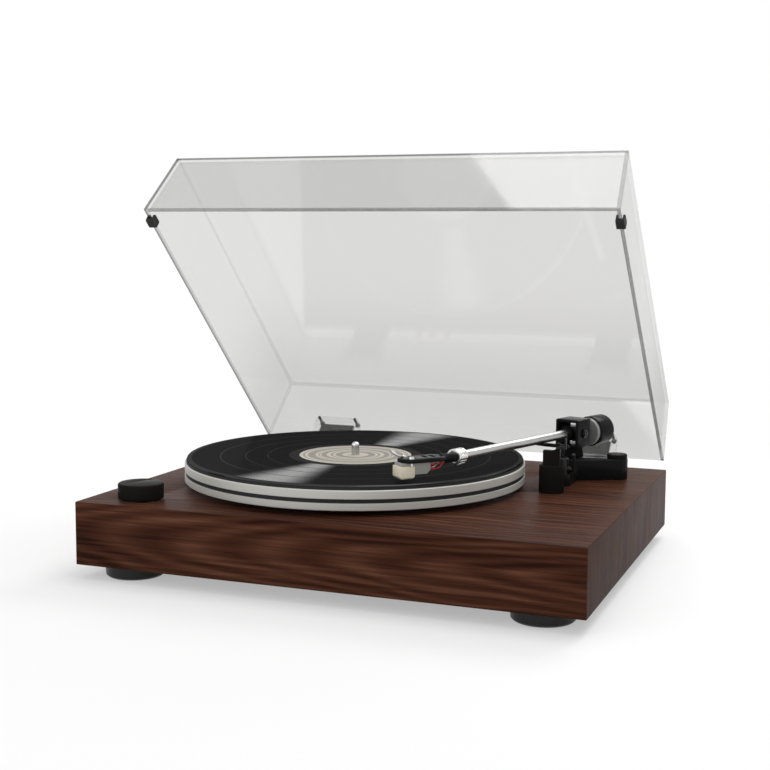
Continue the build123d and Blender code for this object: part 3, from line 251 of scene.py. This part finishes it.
# %% Floor
FLOOR_Z = CAD_BOX[0][2]
FLOOR_GAP = 0.0002
FLOOR_SIZE = 60.0
NEAR_SHADOW = 0.26
PAST_SHADOW = 0.85
LEAST_GLOW = 0.40
bpy.ops.object.select_all(action="DESELECT")
bpy.ops.mesh.primitive_plane_add(size=FLOOR_SIZE, location=(0.0, 0.0, FLOOR_Z - FLOOR_GAP))
floor = bpy.context.object
floor.name = "studio_floor"
paper = Finish("studio_paper", (0.86, 0.86, 0.86), 0.95)
glow = paper.radius().ramp(NEAR_SHADOW, PAST_SHADOW, LEAST_GLOW, 1.0)
lit_paper = paper.node("ShaderNodeEmission", {}, {"Color": WHITE, "Strength": 1.0})
paper.shine(paper.seen() * glow, lit_paper)
floor.data.materials.append(paper.material)

# %% World and lamps
PLAIN_LIGHT = 0.62
world = bpy.data.worlds.new("studio")
bpy.context.scene.world = world
world.use_nodes = True
world.node_tree.nodes.clear()
studio = Graph(world.node_tree)
plain = studio.node("ShaderNodeBackground", {}, {"Color": WHITE, "Strength": PLAIN_LIGHT})
white = studio.node("ShaderNodeBackground", {}, {"Color": WHITE, "Strength": 1.0})
surface = world.node_tree.nodes.new("ShaderNodeOutputWorld").inputs["Surface"]
studio.feed(studio.blend(studio.seen(), plain, white), surface)


def soft_lamp(name, place, aim, size, watts):
    """A rectangular lamp at a place, turned to face the point aimed at."""
    lamp = bpy.data.lights.new(name, "AREA")
    lamp.shape = "RECTANGLE"
    lamp.size, lamp.size_y = size
    lamp.energy = watts
    holder = bpy.data.objects.new(name, lamp)
    bpy.context.collection.objects.link(holder)
    holder.location = place
    holder.rotation_euler = (Vector(aim) - Vector(place)).to_track_quat("-Z", "Y").to_euler()


soft_lamp("back_softbox", (0.45, 1.25, 1.15), (0.05, 0.0, 0.0), (0.9, 0.6), 13.0)
soft_lamp("top_softbox", (0.3, 0.2, 1.6), (0.05, 0.0, 0.0), (1.2, 1.0), 12.0)
soft_lamp("front_fill", (-0.7, -1.5, 0.7), (0.0, 0.0, 0.0), (1.0, 0.8), 4.0)

# %% [markdown]
# ## Walnut veneer
# The plinth is a box with a thin sheet of walnut on each face. Growth rings cut lengthwise show
# as long dark lines, and where the saw meets them at a slant they close into pointed arches. An
# arch is a ring whose distance from a point grows slowly along the board and fast across it, and
# a slow noise bends it. Noise stretched along the grain makes the lines and the pores. The right
# side is painted darker, as shade.

# %% Walnut
walnut = Finish("walnut_veneer", (0.1, 0.04, 0.03), 0.42, Specular_IOR_Level=0.02)
WALNUT_DARK = (0.022, 0.0070, 0.0042)
WALNUT_MID = (0.064, 0.0235, 0.0130)
WALNUT_PALE = (0.135, 0.0560, 0.0330)
PLINTH_FRONT = -0.1728
PLINTH_RIGHT = 0.2506
ARCH_TIP = (0.36, -0.050)
ARCH_SLANT = 0.075
ARCH_DRIFT = 0.022
RING_SPACING = 0.0052
TOP_RING_SPACING = RING_SPACING * 1.7
TOP_DRIFT = 0.05
SIDE_FIGURE = 0.3
SIDE_PAINTED_SHADE = 0.4


def veneer(finish):
    """Colour, lines and pores of veneer: arches in front, upright grain on the right side, which is painted
    darker as shade.
    """
    x, y, z = finish.axes()
    drift = finish.noise(finish.place(scale=(3.0, 9.0, 16.0)), 2.0, 2.0, 0.5) - 0.5
    run = (x - ARCH_TIP[0]) * ARCH_SLANT
    climb = z - ARCH_TIP[1] + drift * ARCH_DRIFT
    arches = (((run * run + climb * climb) ** 0.5) * (TWO_PI / RING_SPACING)).sin() * 0.5 + 0.5
    flat_rings = ((y + drift * TOP_DRIFT) * (TWO_PI / TOP_RING_SPACING)).sin() * 0.5 + 0.5
    in_front = 1.0 - y.over(PLINTH_FRONT)
    at_right = x.over(PLINTH_RIGHT)
    long_lines = finish.noise(finish.place(scale=(2.2, 90.0, 90.0)), 3.0, 4.0, 0.6, 0.2)
    upright_lines = finish.noise(finish.place(scale=(2.2, 110.0, 3.0)), 3.0, 4.0, 0.6, 0.2)
    lines = at_right * upright_lines + (1.0 - at_right) * long_lines
    pores = finish.noise(finish.place(scale=(14.0, 700.0, 700.0)), 2.0, 2.0, 0.6)
    broad = finish.noise(finish.place(scale=(1.2, 12.0, 12.0), shift=(0.6, 0.1, 0.3)), 2.0, 2.0, 0.5)
    figure = in_front * arches + (1.0 - in_front) * (1.0 - at_right) * flat_rings + at_right * SIDE_FIGURE
    share = figure * 0.30 + lines.ramp(0.3, 0.75) * 0.40 + broad.ramp(0.3, 0.7) * 0.30
    colour = finish.mix(share.ramp(0.1, 0.6), WALNUT_DARK, WALNUT_MID)
    colour = finish.mix(share.ramp(0.5, 1.0), colour, WALNUT_PALE)
    dark_pores = pores.ramp(0.58, 0.72, 0.0, 0.45)
    colour = finish.mix(dark_pores, colour, WALNUT_DARK)
    # The right side face is mixed towards WALNUT_DARK: painted shade.
    return finish.mix(at_right * SIDE_PAINTED_SHADE, colour, WALNUT_DARK), lines, pores


colour, lines, pores = veneer(walnut)
walnut.put("Base Color", colour)
walnut.put("Roughness", lines.ramp(0.3, 0.7, 0.34, 0.46))
walnut.bump(pores.ramp(0.4, 0.75, 1.0, 0.0), 0.00012, 0.5)
walnut.dress("plinth_frame")

# %% [markdown]
# ## Turned aluminium
# The platter's rim was faced on a lathe. The cutter leaves rings too fine to see one by one,
# but they break the reflection up a little, so the roughness and the height vary with the
# distance from the spindle and with the height on the rim.

# %% Platter metal
rim_metal = Finish("turned_aluminium", (0.56, 0.553, 0.512), 0.45, 0.15)
across_rim = rim_metal.radius() * 900.0 + rim_metal.axes()[2] * 1400.0
rings = rim_metal.noise_along(across_rim, 2.0, 2.0)
rim_metal.put("Roughness", rings.ramp(0.3, 0.7, 0.40, 0.52))
rim_metal.bump(rings, 0.00002, 0.35)
rim_metal.dress("platter")

# %% [markdown]
# ## Vinyl
# A record is glossy black with a spiral groove. The grooves lie closer than a pixel, so they
# are given as fine rings of height, with wider plain bands between the tracks, at the edge and
# round the label. Two bright wedges, one on each side of the spindle, are a painted highlight:
# a mask raises the share of gloss towards those two sides, and the gloss there reflects the
# lamps and the white world. The wedges are painted into the finish, placed where the photograph
# shows them, so they turn with the platter.

# %% Record
LEAD_IN_R = 0.1465
RUN_OUT_R = 0.0600
GAP_RADII = (0.1210, 0.0985, 0.0790)
GAP_HALF_W = 0.0006
GROOVES_PER_METRE = 1000.0
PAINTED_GLEAM_ANGLE = math.radians(83)
PAINTED_GLEAM_CORE = 0.03
PAINTED_GLEAM_EDGE = 0.27
PAINTED_GLEAM_GLOSS = 0.50
GROOVE_GLOSS = 0.018
PLAIN_GLOSS = 0.045
vinyl = Finish("pressed_vinyl", (0.006, 0.006, 0.0065), 0.22, 0.0, Specular_IOR_Level=0.0)
x, y, _ = vinyl.axes()
radius = vinyl.radius()
groove = vinyl.noise_along(radius * GROOVES_PER_METRE, 3.1, 3.0)
track = vinyl.noise_along(radius * GROOVES_PER_METRE, 0.11, 1.0)
plain_band = radius.over(LEAD_IN_R) + (1.0 - radius.over(RUN_OUT_R))
for gap_r in GAP_RADII:
    plain_band = plain_band + (1.0 - (radius - gap_r).absolute().over(GAP_HALF_W))
plain_band = plain_band.math("MINIMUM", 1.0)
cut = 1.0 - plain_band
vinyl.put("Roughness", cut * track.ramp(0.35, 0.65, 0.20, 0.23) + plain_band * 0.12)
vinyl.bump(groove * cut, 0.000004, 0.4)
# Painted highlight: a mask fixed to the record marks two wedges, and there the gloss lobe gets a larger
# share.
off_axis = (x * math.sin(PAINTED_GLEAM_ANGLE) - y * math.cos(PAINTED_GLEAM_ANGLE)).absolute() / radius
painted_gleam = off_axis.ramp(PAINTED_GLEAM_CORE, PAINTED_GLEAM_EDGE, 1.0, 0.0)
lobe = vinyl.node("ShaderNodeBsdfGlossy", {}, {"Color": WHITE, "Roughness": 0.18})
vinyl.shine(cut * (painted_gleam * PAINTED_GLEAM_GLOSS + GROOVE_GLOSS) + plain_band * PLAIN_GLOSS, lobe)
vinyl.dress("record")

# %% [markdown]
# ## The paper label
# A plain label of its own: cream paper with a few printed grey rings.

# %% Label
label = Finish("paper_label", (0.62, 0.57, 0.47), 0.62)
radius = label.radius()
PRINTED_RINGS = (
    (0.0465, 0.0009), (0.0395, 0.0035), (0.0330, 0.0006),
    (0.0285, 0.0024), (0.0215, 0.0010), (0.0150, 0.0030))
ink = 0.0
for middle, half_width in PRINTED_RINGS:
    ink = ink + (1.0 - (radius - middle).absolute().over(half_width))
ink = ink.math("MINIMUM", 1.0)
fibre = label.noise(label.place(), 420.0, 3.0, 0.6)
paper_colour = label.mix(fibre, (0.55, 0.51, 0.43), (0.48, 0.44, 0.37))
label.put("Base Color", label.mix(ink * 0.72, paper_colour, (0.15, 0.14, 0.13)))
label.bump(fibre, 0.00003, 0.4)
label.dress("record_labels")

# %% [markdown]
# ## Clear acrylic
# The cover is a moulded box of clear acrylic, a little grey. Glass shading that bends the light
# is slow and noisy, so the sheet mixes a see-through tint with a mirror whose share grows at a
# slant. Along its front corners and rim the light is lost in the sheet, so there a painted shade
# darkens it, and painted highlights make pale lines along the top's sides and the back. In the
# photograph the whole sheet is darker towards the hinge, and that is painted shade too. All of
# them are found by turning each point back to the shut cover, whose walls are nearly upright.

# %% Cover
HINGE = (0.1825, -0.03455)
OPEN_ANGLE = math.radians(43.6)
LID_MIDDLE_X = 0.0349
LID_HALF_W = 0.2120
LID_RIM_Z = -0.02195
LID_TOP_Z = 0.04905
LID_BACK_Y = 0.1718
LID_FRONT_Y = -0.1712
SIDE_SLOPE = 0.062
FRONT_SLOPE = 0.073
CORNER_BAND = 0.0030
HINGE_SIDE_Y = (-0.02, 0.165)
HINGE_PAINTED_SHADE = 0.75
HINGE_SHADE_GLOSS = 0.085
SHADE_LINE_GLOSS = 0.5
HIGHLIGHT_LINE_GLOSS = 0.22
SHEET_GREY = (0.92, 0.92, 0.92)
PAINTED_SHADE_GREY = (0.12, 0.12, 0.12)
SLANT_GLOSS = 0.75


def clear_sheet(name, tint, least_mirror):
    """A mirror finish, its share, which is least straight on, and the see-through shader."""
    finish = Finish(name, SHEET_GREY, 0.05, 1.0)
    slant = finish.node("ShaderNodeLayerWeight", {}, {"Blend": 0.5}, output="Facing")
    haze = finish.noise(finish.place(), 9.0, 2.0, 0.5)
    finish.put("Roughness", haze.ramp(0.3, 0.7, 0.04, 0.07))
    through = finish.node("ShaderNodeBsdfTransparent", {}, {"Color": (*tint, 1.0)})
    return finish, slant ** 5 * SLANT_GLOSS + least_mirror, through


def painted_lid_edges(finish):
    """Painted shade lines round the front wall and the rim, painted highlight lines behind, and the hinge
    side's share of painted shade.
    """
    x, y, z = finish.axes()
    back = y - HINGE[0]
    up = z - HINGE[1]
    shut_y = back * math.cos(OPEN_ANGLE) - up * math.sin(OPEN_ANGLE) + HINGE[0]
    shut_z = back * math.sin(OPEN_ANGLE) + up * math.cos(OPEN_ANGLE) + HINGE[1]
    height = shut_z - LID_RIM_Z
    side = ((x - LID_MIDDLE_X).absolute() + height * SIDE_SLOPE).over(LID_HALF_W - CORNER_BAND)
    front = 1.0 - (shut_y - height * FRONT_SLOPE).over(LID_FRONT_Y + CORNER_BAND)
    rear = shut_y.over(LID_BACK_Y - CORNER_BAND)
    top = shut_z.over(LID_TOP_Z - CORNER_BAND)
    rim = 1.0 - shut_z.over(LID_RIM_Z + CORNER_BAND * 0.5)
    dark = (side * front + front * top + rim * (side + front)).over(0.5)
    pale = (side * top + rear * (side + top)).over(0.5)
    return dark, pale, shut_y.ramp(*HINGE_SIDE_Y)


sheet, mirror, through = clear_sheet("clear_acrylic", (0.88, 0.88, 0.875), 0.045)
painted_shade_lines, painted_highlight_lines, hinge_shade_share = painted_lid_edges(sheet)
# Painted shade: the mirror's colour turns dark grey along the front corners and rim and towards the hinge.
painted_shade_share = (painted_shade_lines + hinge_shade_share * HINGE_PAINTED_SHADE).math("MINIMUM", 1.0)
sheet.put("Base Color", sheet.mix(painted_shade_share, SHEET_GREY, PAINTED_SHADE_GREY))
# Painted shade and painted highlights: the mirror's share is raised along the edge lines and towards the
# hinge.
edge_line_gloss = painted_shade_lines * SHADE_LINE_GLOSS + painted_highlight_lines * HIGHLIGHT_LINE_GLOSS
share = mirror.math("MAXIMUM", edge_line_gloss) + hinge_shade_share * HINGE_SHADE_GLOSS
sheet.shine(1.0 - share.math("MINIMUM", 1.0), through)
sheet.dress("dust_cover")
socket_clear, mirror, through = clear_sheet("moulded_clear_plastic", (0.93, 0.93, 0.925), 0.06)
socket_clear.shine(1.0 - mirror.math("MINIMUM", 1.0), through)
socket_clear.dress("hinge_sockets")

# %% [markdown]
# ## Black mouldings, paint and rubber
# Black is never one black: moulded plastic has a fine spark texture, paint on metal a faint
# orange peel under its gloss, and rubber is matt and slightly dusty.

# %% Blacks and boards
SPECK_GAIN = 1.35
SPECK_LIFT = 0.002


def fine_finish(name, colour, roughness, grain, depth, spread=0.08, gloss=0.3):
    """Plastic, paint or rubber with a fine random texture in its colour, gloss and height."""
    finish = Finish(name, colour, roughness, Specular_IOR_Level=gloss)
    speck = finish.noise(finish.place(), grain, 3.0, 0.6)
    finish.put("Roughness", speck.ramp(0.3, 0.7, roughness - spread, roughness + spread))
    paler = tuple(min(1.0, part * SPECK_GAIN + SPECK_LIFT) for part in colour)
    finish.put("Base Color", finish.mix(speck, colour, paler))
    finish.bump(speck, depth, 0.4)
    return finish


moulded = fine_finish("moulded_black_plastic", (0.007, 0.007, 0.007), 0.30, 1400.0, 0.00003)
gloss_black = fine_finish("gloss_black_plastic", (0.011, 0.010, 0.009), 0.16, 900.0, 0.000004, 0.03, 0.004)
enamel = fine_finish("satin_black_enamel", (0.009, 0.009, 0.009), 0.20, 700.0, 0.000006, 0.04, 0.05)
rubber = fine_finish("black_rubber", (0.014, 0.014, 0.014), 0.72, 900.0, 0.00005)
board = fine_finish("dark_fibreboard", (0.030, 0.024, 0.020), 0.80, 300.0, 0.0001)
green = fine_finish("circuit_board", (0.01, 0.075, 0.035), 0.40, 500.0, 0.00002)
moulded.dress("feet", "power_inlet", "speed_switch", "level_slider", "hinge_bases", "hinge_leaves",
              "lift_housing", "rest_clip", "cue_lever")
gloss_black.dress("speed_knob", "anti_skate_dial", "arm_rest")
enamel.dress("arm_base", "arm_turret", "arm_carrier", "counterweight", "lift_platform", "headshell",
             "rear_panel")
rubber.dress("foot_pads", "motor_grommets", "drive_belt", "lid_bumpers", "slipmat", "platter_band")
board.dress("bottom_panel")
green.dress("speed_board", "phono_board")

# %% [markdown]
# ## Bright metals and coloured plastics
# The tube is satin aluminium, the collar and the finger lift are brighter, and the screws are
# blackened or bright steel. The four leads take their colours from their places side by side.

# %% Metals
METAL_GRAIN = 800.0
METAL_SPREAD = 0.06


def metal_finish(name, colour, roughness):
    """Bare metal whose gloss varies a little with the wear of its surface."""
    finish = Finish(name, colour, roughness, 1.0)
    wear = finish.noise(finish.place(), METAL_GRAIN, 2.0, 0.6)
    finish.put("Roughness", wear.ramp(0.3, 0.7, roughness - METAL_SPREAD, roughness + METAL_SPREAD))
    finish.bump(wear, 0.00001, 0.3)
    return finish


tube_metal = metal_finish("satin_aluminium_tube", (0.47, 0.47, 0.46), 0.34)
bright = metal_finish("bright_aluminium", (0.74, 0.74, 0.72), 0.22)
steel = metal_finish("ground_steel", (0.55, 0.55, 0.55), 0.24)
black_steel = metal_finish("blackened_steel", (0.06, 0.06, 0.065), 0.35)
bronze = metal_finish("sintered_bronze", (0.55, 0.36, 0.16), 0.42)
gold = metal_finish("gold_plate", (0.80, 0.58, 0.26), 0.25)
zinc = metal_finish("zinc_casting", (0.40, 0.40, 0.41), 0.50)
tube_metal.dress("arm_tube")
bright.dress("locking_collar", "finger_lift")
steel.dress("spindle_shaft", "thrust_ball", "motor", "motor_shaft", "motor_plate", "knob_shaft",
            "level_switch", "hinge_pins", "arm_nut", "cartridge_screws")
black_steel.dress("case_screws", "mounting_screws", "socket_screws", "pivot_screws")
bronze.dress("bearing_bushes")
gold.dress("phono_jacks", "earth_terminal", "motor_pulley")
zinc.dress("bearing_housing")

# %% Coloured plastics
ivory = fine_finish("ivory_moulding", (0.70, 0.64, 0.50), 0.38, 900.0, 0.00001)
grey = fine_finish("grey_moulding", (0.30, 0.30, 0.28), 0.42, 900.0, 0.00001)
scale_grey = fine_finish("grey_scale_ring", (0.24, 0.24, 0.23), 0.35, 900.0, 0.00001)
LEAD_COLOURS = ((0.55, 0.03, 0.02), (0.03, 0.30, 0.10), (0.02, 0.30, 0.36), (0.75, 0.75, 0.72))
LEAD_STEP = 0.0019
ARM_YAW = 18.7
HEAD_OFFSET = 24.5
HEAD_TURN = math.radians(ARM_YAW + HEAD_OFFSET)
across = Vector((-math.cos(HEAD_TURN), math.sin(HEAD_TURN), 0.0))
lead_points = [across.dot(vertex.co) for vertex in nodes["cartridge_leads"].data.vertices]
lead_middle = (min(lead_points) + max(lead_points)) / 2
wire = Finish("insulated_wire", LEAD_COLOURS[0], 0.45)
x, y, _ = wire.axes()
sideways = x * across.x + y * across.y - lead_middle
colour = LEAD_COLOURS[0]
for count, shade in enumerate(LEAD_COLOURS[1:]):
    colour = wire.mix(sideways.over((count - 1) * LEAD_STEP), colour, shade)
wire.put("Base Color", colour)
ivory.dress("stylus_unit")
grey.dress("cartridge")
scale_grey.dress("scale_ring")
wire.dress("cartridge_leads")

# %% [markdown]
# ## Softer edges
# A plain solid has edges without any width, so they catch no light. Each of these pieces is a
# copy of a CAD node's mesh whose corners are joined and then bevelled by a few tenths of a
# millimetre. It stands for the node, which stays in the physics model.

# %% Bevelled copies
EDGE_ANGLE = math.radians(32)
FLAT_ANGLE = math.radians(0.6)
EDGE_SEGMENTS = 3
SAME_POINT = 0.000004


def soften(name, body, width):
    """A bevelled copy of a CAD node, with the node's finish."""
    source = nodes[name]
    bpy.ops.object.select_all(action="DESELECT")
    piece = bpy.data.objects.new(name + "_soft", source.data.copy())
    bpy.context.collection.objects.link(piece)
    bpy.context.view_layer.objects.active = piece
    piece.select_set(True)
    bpy.ops.object.mode_set(mode="EDIT")
    bpy.ops.mesh.select_all(action="SELECT")
    bpy.ops.mesh.remove_doubles(threshold=SAME_POINT)
    bpy.ops.mesh.dissolve_limited(angle_limit=FLAT_ANGLE)
    bpy.ops.object.mode_set(mode="OBJECT")
    bevel = piece.modifiers.new("edges", "BEVEL")
    bevel.limit_method = "ANGLE"
    bevel.angle_limit = EDGE_ANGLE
    bevel.width = width
    bevel.segments = EDGE_SEGMENTS
    bpy.ops.object.modifier_apply(modifier=bevel.name)
    bpy.ops.object.shade_smooth_by_angle(angle=EDGE_ANGLE)
    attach(piece, body)
    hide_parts(name)


SOFT_EDGES = {
    "speed_knob": ("knob_group", 0.0007),
    "arm_base": ("chassis", 0.0005),
    "arm_rest": ("chassis", 0.0005),
    "arm_turret": ("turret_group", 0.0004),
    "arm_carrier": ("arm_group", 0.0003),
    "counterweight": ("weight_group", 0.0005),
    "headshell": ("arm_group", 0.0002),
    "cartridge": ("arm_group", 0.0004),
    "stylus_unit": ("arm_group", 0.0003),
    "locking_collar": ("arm_group", 0.0002),
    "hinge_bases": ("chassis", 0.0004),
    "plinth_frame": ("chassis", 0.0004),
}
for name, (body, width) in SOFT_EDGES.items():
    soften(name, body, width)
